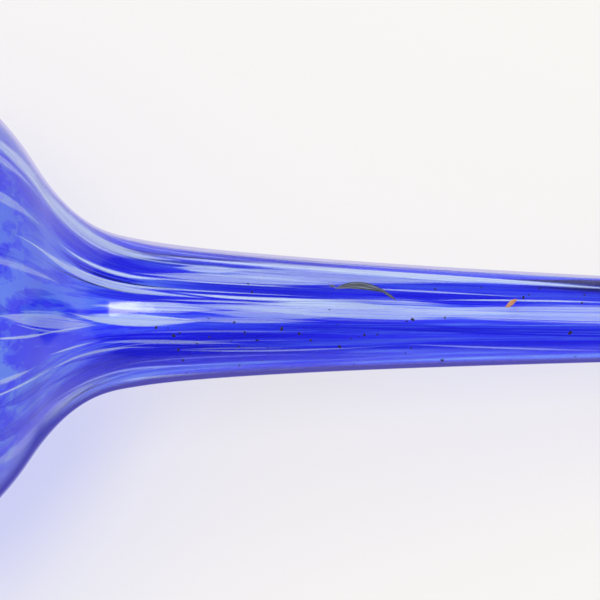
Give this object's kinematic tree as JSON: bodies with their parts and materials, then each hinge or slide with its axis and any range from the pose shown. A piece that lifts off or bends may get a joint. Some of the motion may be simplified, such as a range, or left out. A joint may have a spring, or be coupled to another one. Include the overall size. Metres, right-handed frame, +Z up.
{
  "type": "watering globe",
  "caption": "Hand-blown blue glass watering globe: a hollow ball on a long tapering stem, open at its end, pushed into soil to water a pot plant slowly.",
  "frame": {"origin": "on the surface that the globe lies on, below the middle of its length", "axes": "+X from the ball towards the stem's open end, +Y across, +Z up; the axis leans down towards the open end because the part rests on the ball and on that end's rim"},
  "size_m": [0.2672, 0.09, 0.09],
  "materials": {
    "clear_glass": "fire-polished clear",
    "blue_glass": "clear blue, mottled",
    "white_glass": "opal white",
    "cobalt_glass": "deep cobalt"
  },
  "bodies": {
    "root": {"clear_casing": "clear_glass", "blue_lining": "blue_glass", "white_streaks": "white_glass", "cobalt_streaks": "cobalt_glass"}
  },
  "joints": []
}
